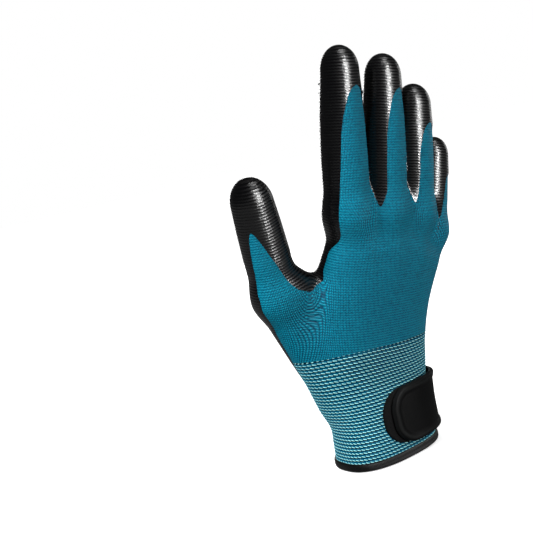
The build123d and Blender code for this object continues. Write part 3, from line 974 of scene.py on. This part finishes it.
def dip_piece(name, tris):
    """The dip over some of the skin, or None where it has none."""
    tris, carry = clip_tris(tris, DIP)
    if not len(tris):
        return None
    mask = carry(DIP)
    mask[len(SKIN):] = 0
    verts, faces, normals, uv, mask = compact(
        carry(SKIN), tris, carry(SKIN_NORMALS), carry(SKIN_UV), mask)
    return fabric(name, "black_coating", verts, faces, normals, uv,
                  outward=0.1 + 0.55 * ease(mask, -0.2, 1.6), inward=0.02,
                  low=ease(-verts[:, 2], -66, -60) * ease(to_hand(verts)[:, 1], 0, 6),
                  thin=ease(-mask, -3, 0))


LABELS = segment_labels(SKIN[SKIN_TRIS].mean(1))
hand_tris = SKIN_TRIS[LABELS == 0]
above_cuff = SKIN[:, 2] - (CUFF_TOP - CUFF_SLOPE * SKIN[:, 0]) + CUFF_OVERLAP
mount(knit_piece("knit_hand", hand_tris, above_cuff), "hand", "hand_liner")
mount(dip_piece("dip_palm", hand_tris), "hand", "palm_coating")
for i, (name, digit) in enumerate(DIGITS.items(), 1):
    for j, segment in enumerate(digit.segments):
        tris = SKIN_TRIS[LABELS == 10 * i + j + 1]
        obj = knit_piece(f"knit_{name}_{segment}", tris)
        bend(obj, name, j)
        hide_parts(f"{name}_{segment}_liner")
        obj = dip_piece(f"dip_{name}_{segment}", tris)
        if obj:
            bend(obj, name, j)
            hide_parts(f"{name}_{segment}_coating")


def finger_walls(name, digit, place):
    """A finger's own side wall against its neighbour, so that it stays a closed tube."""
    bearings = np.radians(np.arange(-180, 180, 7.5))
    stations = np.arange(digit.start + 0.5, digit.shoulder, 1.4)
    angle, along = (grid.ravel() for grid in np.meshgrid(bearings, stations))
    radius = finger_radius(digit, along) - 0.3
    local = np.stack([(1 + FINGER_WIDEN) * radius * np.sin(angle), -radius * np.cos(angle),
                      along], 1)
    verts = to_world(digit.base + local @ digit.axes.T)
    normals = np.stack([np.sin(angle), -np.cos(angle), 0 * angle], 1)
    normals = (normals @ digit.axes.T) @ LEAN.T
    parts = part_distances(verts)[1]
    neighbour = np.minimum.reduce([parts[1 + j] for j in range(4) if j != place])
    hidden = (skin(verts) < -0.4) & (neighbour < 1.4)
    quads = grid_faces(len(stations), len(bearings))
    quads = quads[hidden[quads].any(1)]
    if not len(quads):
        return
    middle = along[quads].mean(1)
    segment_of = np.tile(sum((middle > c).astype(int) for c in digit.cuts), 2)
    tris = to_tris(quads)
    uv = np.stack([angle * radius, along], 1)
    for k, segment in enumerate(digit.segments):
        if (segment_of == k).any():
            piece = compact(verts, tris[segment_of == k], normals, uv)
            obj = fabric(f"wall_{name}_{segment}", "black_coating", *piece,
                         outward=0.0, inward=-0.5)
            bend(obj, name, k)


for i, (name, digit) in enumerate(FINGERS.items()):
    finger_walls(name, digit, i)


# ------------------------------------------------------------------ cuff: a ribbed tube
def around_cuff(bearing, z):
    """Skin points of the cuff at bearings (from +x) and heights, and their normals."""
    origins = np.stack([np.interp(z, [0, 25, 75], [0, 0, -2.0]),
                        np.interp(z, [25, 75], [0, -7.0]), z], 1)
    rays = np.stack([np.cos(bearing), np.sin(bearing), np.zeros(len(bearing))], 1)
    # march inwards to the first point inside the skin, then refine
    inner, outer, step = 4.0, 70.0, 1.5
    reach = np.full(len(origins), inner)
    for radius in np.arange(outer, inner, -step):
        waiting = np.flatnonzero(reach == inner)
        if not len(waiting):
            break
        inside = skin(origins[waiting] + rays[waiting] * radius) < 0
        reach[waiting[inside]] = radius
    reach = ray_exit(origins, rays, reach, reach + step, rounds=14)
    pts = origins + rays * reach[:, None]
    return pts, skin_normals(pts)


def cuff():
    around = 300
    bearings = np.linspace(-math.pi, math.pi, around, endpoint=False) + math.pi / 2
    heights = np.arange(1.2, CUFF_TOP + 0.01, CUFF_ROW / 5)
    rows = len(heights)
    bearing, z = np.meshgrid(bearings, heights)
    z = z - CUFF_SLOPE * 36 * np.cos(bearing) * ease(z, 34, 65)
    pts, normals = around_cuff(bearing.ravel(), z.ravel())
    rings = pts.reshape(rows, around, 3)
    steps = np.linalg.norm(np.roll(rings, -1, 1) - rings, axis=2)
    length = np.concatenate([np.zeros((rows, 1)), np.cumsum(steps, 1)], 1)
    girth = length[:, -1:]
    width = round(float(girth.mean()) / CUFF_DASH) * CUFF_DASH
    u = length / girth * width
    row_phase = (heights[:, None] / CUFF_ROW) % 1.0
    relief = (0.16 * np.cos(TAU * (row_phase - 0.5))
              + 0.05 * np.cos(TAU * (u[:, :-1] / CUFF_DASH)))
    outer = pts + normals * relief.ravel()[:, None]
    count = len(outer)
    faces = grid_faces(rows, around)
    here = np.arange(around)
    after = (here + 1) % around
    top, top_after = here + (rows - 1) * around, after + (rows - 1) * around
    faces = np.concatenate([
        faces, faces[:, ::-1] + count,
        np.stack([here, here + count, after + count, after], 1),
        np.stack([top, top_after, top_after + count, top + count], 1)])
    obj = make_object("cuff_knit", np.concatenate([outer, pts - normals * 1.0]), faces,
                      "patterned_knit")
    # u runs on past the seam instead of jumping back
    row, column = np.divmod(loop_verts(obj.data) % count, around)
    corners = np.stack([u[row, column], heights[row]], 1).astype(np.float32).reshape(-1, 4, 2)
    across = corners[:, :, 0]
    seam = (across.max(1) - across.min(1)) > width * 0.5
    across += np.where(seam[:, None] & (across < width * 0.5), width, 0)
    set_loop_uv(obj.data, corners)
    mount(obj, "hand", "cuff_rib")


cuff()


def hem():
    """Rolled tape over the cuff's raw lower edge."""
    sides, around = 22, 360
    turn = np.linspace(0, TAU, sides, endpoint=False)
    pts, normals = around_cuff(np.linspace(0, TAU, around, endpoint=False),
                               np.full(around, 2.6))
    normals[:, 2] = 0
    normals = unit(normals)
    steps = np.linalg.norm(np.roll(pts, -1, 0) - pts, axis=1)
    length = np.concatenate([[0], np.cumsum(steps)])[:around, None]
    out = 1.55 * np.sign(np.cos(turn)) * np.abs(np.cos(turn)) ** 0.55 - 0.35
    z = 2.35 * np.sign(np.sin(turn)) * np.abs(np.sin(turn)) ** 0.6 + 2.4
    weave = 0.05 * np.sin(TAU * (length / 1.6 + z / 5.2))
    verts = pts[:, None] + normals[:, None] * (out + weave * np.cos(turn))[..., None]
    verts[..., 2] = np.maximum(z + 0.12 * np.sin(length / 9.0) * (z > 2), 0.0)
    uv = np.stack(np.broadcast_arrays(length, np.arange(sides) * 0.55), -1)
    faces = []
    for j in range(around):
        start, end = j * sides, (j + 1) % around * sides
        faces += [(start + c, end + c, end + (c + 1) % sides, start + (c + 1) % sides)
                  for c in range(sides)]
    obj = make_object("hem_binding_tape", verts.reshape(-1, 3), faces, "binding",
                      uv=uv.reshape(-1, 2))
    mount(obj, "hand", "hem_binding")


hem()


# ------------------------------------------------------------------ raised pads with nubs
def lathe(profile, around):
    """Solid of revolution about z from (radius, height) pairs, base first, apex last."""
    verts = [(r * math.cos(TAU * i / around), r * math.sin(TAU * i / around), z)
             for r, z in profile[:-1] for i in range(around)]
    apex, base = len(verts), len(verts) + 1
    verts += [(0, 0, profile[-1][1]), (0, 0, profile[0][1])]
    faces = [*grid_faces(len(profile) - 1, around)]
    last = (len(profile) - 2) * around
    for i in range(around):
        after = (i + 1) % around
        faces += [(last + i, last + after, apex), (after, i, base)]
    return np.array(verts), faces


SPIKE = lathe([(2.2, -0.35), (2.0, 0.05), (1.62, 0.28), (1.36, 0.75), (1.12, 1.45),
               (0.86, 2.25), (0.62, 2.95), (0.42, 3.4), (0.2, 3.62), (0, 3.68)], 14)
BULB = lathe([(4.7, -0.4), (4.45, 0.05), (4.0, 0.3), (3.72, 0.7), (3.6, 1.3), (3.52, 2.2),
              (3.3, 3.0), (2.85, 3.7), (2.1, 4.25), (1.1, 4.55), (0, 4.62)], 22)
BIG_BULB = (BULB[0] * np.array([1.22, 1.22, 1.06]), BULB[1])


def place_nub(verts, point, normal, twist):
    x = unit(np.cross([0, 0, 1.0], normal))
    y = np.cross(normal, x)
    cos, sin = math.cos(twist), math.sin(twist)
    return point + verts @ np.stack([x * cos + y * sin, -x * sin + y * cos, normal], 1).T


def rounded_grid(half_x, half_y, step, low_corner, high_corner):
    """Grid squeezed onto a rounded rectangle, corner radii at its -x and +x ends.

    Returns x, y, distance in from the outline, rows and columns."""
    columns, rows = max(4, int(2 * half_x / step)), max(4, int(2 * half_y / step))
    x, y = np.meshgrid(np.linspace(-1, 1, columns), np.linspace(-1, 1, rows))
    x, y = x * half_x, y * half_y
    corner = np.where(x < 0, low_corner, high_corner)
    over_x = np.maximum(np.abs(x) - (half_x - corner), 0)
    over_y = np.maximum(np.abs(y) - (half_y - corner), 0)
    size = np.hypot(over_x, over_y)
    pull = np.where(size > 1e-9, np.maximum(over_x, over_y) / np.maximum(size, 1e-9), 1)
    x = np.sign(x) * (np.minimum(np.abs(x), half_x - corner) + over_x * pull)
    y = np.sign(y) * (np.minimum(np.abs(y), half_y - corner) + over_y * pull)
    out_x, out_y = np.abs(x) - half_x + corner, np.abs(y) - half_y + corner
    edge = corner - np.hypot(np.maximum(out_x, 0), np.maximum(out_y, 0))
    edge = edge - np.minimum(np.maximum(out_x, out_y), 0)
    return x.ravel(), y.ravel(), np.clip(edge.ravel(), 0, None), rows, columns


def nub_pad(name, mapper, half_x, half_y, corner, step, height, spots, nub):
    """Raised pad. mapper takes pad x (across), y (along) to skin points and normals."""
    x, y, edge, rows, columns = rounded_grid(half_x, half_y, step, corner, corner)
    pts, normals = mapper(x, y)
    rim = 0.9     # width of the rounded edge
    rise = height * np.sqrt(np.clip(1 - (1 - np.clip(edge / rim, 0, 1)) ** 2, 0, 1)) + 0.45
    parts = [grid_shell(pts + normals * rise[:, None], pts + normals * 0.15, normals,
                        rows, columns)]
    pts, normals = mapper(*np.array(spots, float).T)
    for i, (point, normal) in enumerate(zip(pts, normals)):
        foot = point + normal * (height + 0.4)
        parts.append((place_nub(nub[0], foot, normal, twist=i * 0.7), nub[1]))
    return make_object(name, *join(parts), "black_rubber")


def finger_mapper(digit, middle):
    def place(x, y):
        along = middle + y
        radius = np.maximum(finger_radius(digit, along), 4)
        bearing = np.radians(digit.pad_bearing) + x / radius
        rays = np.stack([np.sin(bearing), np.cos(bearing), np.zeros_like(bearing)], 1)
        rays = rays @ digit.axes.T @ LEAN.T
        # past the shoulder of the tip the rays fan out
        fan = np.clip((along - digit.shoulder) / digit.tip_radius, 0, 1.2)[:, None] * 0.9
        axis = digit.axes[:, 2] @ LEAN.T
        reach = np.minimum(along, digit.shoulder)
        origins = to_world(digit.base + reach[:, None] * digit.axes[:, 2])
        rays = unit(rays * np.cos(fan) + axis * np.sin(fan))
        leaves = ray_exit(origins, rays, 3, 24)
        pts = origins + rays * leaves[:, None]
        # a ray that would run into the neighbouring finger stops at this finger's own wall
        own = finger_distance(digit, to_hand(pts), FINGER_WIDEN)
        others = np.minimum.reduce(part_distances(pts)[1][1:5])
        over = ((own > others + 0.3) & (own > 0.5))[:, None]
        wall = np.minimum(leaves, radius * (1 + FINGER_WIDEN) + 0.3)
        pts = np.where(over, origins + rays * wall[:, None], pts)
        return pts, np.where(over, rays, skin_normals(pts))
    return place


NUB_ROW_PITCH = 4.55
for name, digit in DIGITS.items():
    last_segment = len(digit.segments) - 1
    for j, segment in enumerate(digit.segments):
        is_tip = j == last_segment
        gap_below, gap_above = digit.pad_gaps[j]
        low = digit.creases[j] + gap_below
        if is_tip:
            high = digit.length - digit.tip_radius * 0.82
        else:
            high = digit.creases[j + 1] - gap_above
        rows = max(2, int(round((high - low - 2.6) / NUB_ROW_PITCH)) + 1)
        half = (high - low) / 2
        pitch = digit.nub_pitch - (0.55 if is_tip else 0.0)
        spots = []
        for i, y in enumerate(np.linspace(-half + 1.45, half - 1.45, rows)):
            columns = 2 if is_tip and i >= rows - 2 else 4
            spots += [((c - (columns - 1) / 2) * pitch, y) for c in range(columns)]
        obj = nub_pad(f"nubs_{name}_{segment}", finger_mapper(digit, (low + high) / 2),
                      half_x=1.5 * pitch + 2.3, half_y=half + 0.3, corner=2.6, step=0.8,
                      height=0.55, spots=spots, nub=SPIKE)
        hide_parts(f"{name}_{segment}_nub_pad")
        if j == 0:
            bend(obj, name, 0)
        else:
            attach(obj, f"{name}_{segment}")


def palm_mapper(centre_x, centre_z, turn):
    """Pad plane in the hand frame, turned by degrees and cast onto the palm."""
    cos, sin = math.cos(math.radians(turn)), math.sin(math.radians(turn))

    def place(x, y):
        plane_x, plane_z = centre_x + x * cos - y * sin, centre_z + x * sin + y * cos
        origins = to_world(np.stack([plane_x, np.full_like(plane_x, -4.0), plane_z], 1))
        rays = np.tile(np.array([0, 1.0, 0]) @ LEAN.T, (len(x), 1))
        pts = origins + rays * ray_exit(origins, rays, 0, 40)[:, None]
        return pts, skin_normals(pts)
    return place


# name, replaced piece, (centre x, centre z, turn), (half x, half y, corner, step, height),
# nub, rows of nubs as (y, (x, ...))
PALM_PADS = [
    ("nubs_finger_root", "finger_root_nub_band", (-2.0, 74.0, -3), (30.0, 5.9, 3.2, 0.9, 0.9),
     BULB, [(0, (-24.4, -12.2, 0, 12.2, 24.2))]),
    ("nubs_outer_palm", "outer_palm_nub_pad", (7.5, 42.5, -4), (19.6, 25.0, 6.0, 0.9, 0.9),
     BULB, [(19.5, (-13.8, -4.6, 4.6, 13.8)), (9.7, (-13.8, -4.6, 4.6, 13.8)),
            (-0.1, (-13.8, -4.6, 4.6, 13.8)), (-9.9, (-13.8, -4.6, 4.6, 13.6)),
            (-19.7, (-13.6, -4.6, 4.6, 13.2))]),
    ("nubs_thenar", "thenar_nub_pad", (-28.5, 37.5, 6), (16.2, 23.0, 8.5, 0.9, 0.9),
     BULB, [(17.5, (0.2,)), (8.9, (-9.6, 0, 9.6)), (0.2, (-10.2, -0.4, 9.6)),
            (-8.6, (-10.2, -0.4, 9.6)), (-17.4, (-8.6, 0.6, 9.4))]),
    ("nub_index_root", "index_root_nub", (-24.5, 62.5, 0.0), (5.6, 5.4, 5.2, 0.8, 0.7),
     BIG_BULB, [(0, (0,))]),
]
for name, replaced, centre, sizes, nub, rows in PALM_PADS:
    spots = [(x, y) for y, row in rows for x in row]
    mount(nub_pad(name, palm_mapper(*centre), *sizes, spots, nub), "hand", replaced)

# ------------------------------------------------------------------ wrist strap
# Places on the strap: s, arc length round the cuff from bearing +40 over the back (-Y), and z.
STRAP_Z, STRAP_HALF = 24.0, 16.0
STRAP_BEARINGS = np.linspace(40, -150, 381)
STRAP_LINE, _ = around_cuff(np.radians(STRAP_BEARINGS), np.full(381, STRAP_Z))
STRAP_ARC = np.concatenate([[0], np.cumsum(
    np.linalg.norm(np.diff(STRAP_LINE[:, :2], axis=0), axis=1))])


def on_strap(s, z, height):
    """Points at s and z and a height off the skin, and the directions off it."""
    bearing = np.radians(np.interp(s, STRAP_ARC, STRAP_BEARINGS))
    pts, normals = around_cuff(bearing, z)
    normals[:, 2] *= 0.3
    normals = unit(normals)
    return pts + normals * np.reshape(height, (-1, 1)), normals


def arc_at(bearing):
    return float(np.interp(-bearing, -STRAP_BEARINGS, STRAP_ARC))


def strap_sheet(name, slot, s_range, z_range, corners, step, outer, inner, painted_rim_sheen=None):
    """Sheet wrapped on the cuff. outer and inner take (edge, s, z) to heights off the skin,
    edge being the distance in from the outline; the last argument maps edge to the attribute edge,
    a painted highlight along the rim."""
    (s_low, s_high), (z_low, z_high) = s_range, z_range
    x, y, edge, rows, columns = rounded_grid((s_high - s_low) / 2, (z_high - z_low) / 2,
                                             step, *corners)
    s, z = (s_low + s_high) / 2 + x, (z_low + z_high) / 2 + y
    top, normals = on_strap(s, z, outer(edge, s, z))
    bottom, _ = on_strap(s, z, inner(edge, s, z))
    attrs = {"edge": np.concatenate([painted_rim_sheen(edge), np.zeros(len(s))])} if painted_rim_sheen else None
    verts, faces = grid_shell(top, bottom, normals, rows, columns)
    return make_object(name, verts, faces, slot, attrs=attrs)


STRAP_START, HINGE = arc_at(20.0), arc_at(-6.0)
STRAP_END = float(STRAP_ARC[200:][np.argmin(np.abs(STRAP_LINE[200:, 0] + 8.0))])


def strap_lift(s):
    return 0.75 + 1.45 * ease(s, HINGE - 2, HINGE + 12)


def tab_top(edge, s, z=None):
    """Rounded rim, a groove inside it, a sunk middle and a swelling at the hinge."""
    rim = 1 - (1 - np.clip(edge / 1.3, 0, 1)) ** 2
    groove = np.exp(-((edge - 3.0) / 0.35) ** 2) * 0.18
    return (strap_lift(s) + 0.5 + 1.9 * np.sqrt(np.clip(rim, 0, 1))
            - 0.72 * ease(edge, 3.3, 4.3) - groove
            + 0.5 * np.exp(-((s - HINGE) / 3.2) ** 2))


# the tab's rim gets two lightened bands, at the outline and about 2.4 mm in, as a painted
# highlight
tab = strap_sheet(
    "strap_tab_rubber", "strap_rubber", (STRAP_START, STRAP_END),
    (STRAP_Z - STRAP_HALF, STRAP_Z + STRAP_HALF), corners=(4.0, 13.0), step=0.62,
    outer=tab_top, inner=lambda edge, s, z: strap_lift(s) - 0.15,
    painted_rim_sheen=lambda edge: np.exp(-((edge - 2.4) / 0.7) ** 2) + np.exp(-(edge / 0.6) ** 2) * 0.6)
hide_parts("strap_tab", "strap_inlay", "strap_anchor")
hinge_pts, _ = on_strap(np.array([HINGE - 5.0, HINGE + 6.5]), np.full(2, STRAP_Z), 1.0)
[tuple(point * MM) for point in hinge_pts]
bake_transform(tab)

FUZZ = np.random.RandomState(7).rand(64, 64)


def pile_top(edge, s, z):
    i, j = (s * 1.9).astype(int) % 64, (z * 1.9).astype(int) % 64
    return 0.35 + 0.75 * np.sqrt(np.clip(edge / 0.9, 0, 1)) + 0.32 * FUZZ[i, j]


loop = strap_sheet(
    "loop_patch_pile", "loop_pile", (HINGE + 16, STRAP_END + 5.0), (8.6, 39.4),
    corners=(3.0, 13.5), step=0.42, outer=pile_top, inner=lambda edge, s, z: 0.02)
mount(loop, "hand", "loop_patch")


def hook_bottom(edge, s, z):
    return 1.62 - 0.28 * ((np.sin(s * 3.6) > 0.1) & (np.sin(z * 3.6) > 0.1))


hook = strap_sheet(
    "hook_tape_strip", "hook_tape", (HINGE + 18, STRAP_END - 2.4), (11.2, 36.8),
    corners=(2.0, 10.5), step=0.45, outer=lambda edge, s, z: 2.15, inner=hook_bottom)
mount(hook, "strap", "hook_tape")


def thread_tube(pts, radius, sides=8):
    """Round tube along a line, narrowed at both ends."""
    last = len(pts) - 1
    verts = []
    for i, point in enumerate(pts):
        ahead = unit(pts[min(i + 1, last)] - pts[max(i - 1, 0)])
        side = unit(np.cross(ahead, [0.3, 0.1, 1.0]))
        other = np.cross(ahead, side)
        size = radius * (0.55 if i in (0, last) else 1)
        for k in range(sides):
            turn = TAU * k / sides
            verts.append(point + size * (side * math.cos(turn) + other * math.sin(turn)))
    caps = [tuple(range(sides))[::-1], tuple(last * sides + k for k in range(sides))]
    return np.array(verts), [*grid_faces(len(pts), sides), *caps]


# two columns of stitches hold the strap's sewn end: distance from the end, and in from the rim
stitches = []
for from_end, edge in ((2.2, 2.2), (9.0, 5.0)):
    s = STRAP_START + from_end
    for i in range(9):
        centre = 11.6 + i * 3.1
        z = np.linspace(centre - 1.05, centre + 1.05, 7)
        height = tab_top(edge, s) + 0.22 * np.sin(np.linspace(0, math.pi, 7)) - 0.03
        stitches.append(thread_tube(on_strap(np.full(7, s), z, height)[0], radius=0.28))
mount(make_object("strap_stitching", *join(stitches), "thread"), "hand", "strap_stitches")

# ------------------------------------------------------------------ stage (metres)
shader = Shader(bpy.data.materials.new("floor_pale"))
pale = shader.mix(srgb(248, 248, 248), srgb(252, 252, 252),
                  share=shader.noise(scale=3.0, detail=2.0))
seen = shader.node("ShaderNodeLightPath", "Is Camera Ray")
# brighter to the camera than to the glove
shader.surface(Base_Color=shader.mix((0.20, 0.20, 0.20, 1), pale, share=seen), Roughness=0.8,
               Specular_IOR_Level=0.0, Emission_Color=(1.0, 1.0, 1.0, 1.0),
               Emission_Strength=seen * 0.62)
mesh = bpy.data.meshes.new("floor")
mesh.from_pydata([(-8, -8, 0), (8, -8, 0), (8, 8, 0), (-8, 8, 0)], [], [(0, 1, 2, 3)])
floor = link_object("floor", mesh)
mesh.materials.append(shader.data)
floor.location = (0, 0, -0.0004)

SCENE.world = bpy.data.worlds.new("studio")
world = Shader(SCENE.world)
seen = world.node("ShaderNodeLightPath", "Is Camera Ray")


def world_mix(first, second, share):
    return world.node("ShaderNodeMix", 0, {0: share, 2: first, 3: second}, data_type="FLOAT")


# strength for diffuse rays, for glossy rays and for the camera
strength = world_mix(world_mix(0.55, 0.05, share=seen.sibling("Is Glossy Ray")), 1.0, seen)
background = world.tree.nodes["Background"]
world.put(background.inputs[0], (1, 1, 1, 1))
world.put(background.inputs[1], strength)

# ------------------------------------------------------------------ camera
TARGET = np.array([0.0043, -0.0024, 0.110])
DISTANCE = 0.520
azimuth, elevation, roll = map(math.radians, (-36.0, 8.0, -13.0))
BACK = np.array([math.sin(azimuth) * math.cos(elevation),
                 -math.cos(azimuth) * math.cos(elevation), math.sin(elevation)])
level = np.array([math.cos(azimuth), math.sin(azimuth), 0])
upright = np.cross(BACK, level)
RIGHT = level * math.cos(roll) + upright * math.sin(roll)
UP = -level * math.sin(roll) + upright * math.cos(roll)
camera = bpy.data.cameras.new("camera")
camera_object = link_object("camera", camera)
pose = np.eye(4)
pose[:3] = np.stack([RIGHT, UP, BACK, TARGET + BACK * DISTANCE], 1)
camera_object.matrix_world = Matrix(pose.tolist())
camera.sensor_width = 36
camera.lens = 63.287054
camera.shift_x = -0.16228893
camera.shift_y = -0.0084427767
camera.clip_start = 0.01
SCENE.camera = camera_object


# ------------------------------------------------------------------ lights
def area(name, offset, size, power, diffuse=True, glossy=True):
    """Area light aimed at the target; offset is right, up and towards the camera from it."""
    x, y, z = offset
    light = bpy.data.lights.new(name, "AREA")
    light.shape = "RECTANGLE"
    light.size, light.size_y = size
    light.energy = power
    obj = link_object(name, light)
    obj.location = tuple(TARGET + RIGHT * x + UP * y + BACK * z)
    obj.visible_diffuse, obj.visible_glossy = diffuse, glossy
    aim = Vector(tuple(TARGET)) - obj.location
    obj.rotation_euler = aim.to_track_quat("-Z", "Y").to_euler()


area("key", (-0.58, 0.45, 0.60), size=(0.36, 0.36), power=10.0, glossy=False)
area("fill", (0.9, 0.0, 0.8), size=(0.7, 0.9), power=9.0, glossy=False)
area("strip", (0.38, 0.16, 0.47), size=(0.026, 0.55), power=13.0, diffuse=False)
area("crown", (0.15, 0.75, 0.25), size=(0.16, 0.16), power=2.0, diffuse=False)
area("rim", (0.7, 0.3, -0.8), size=(0.3, 0.6), power=1.6)
area("palm", (-0.25, 0.25, -1.0), size=(0.35, 0.5), power=2.6)
SCENE.view_settings.view_transform = "Standard"
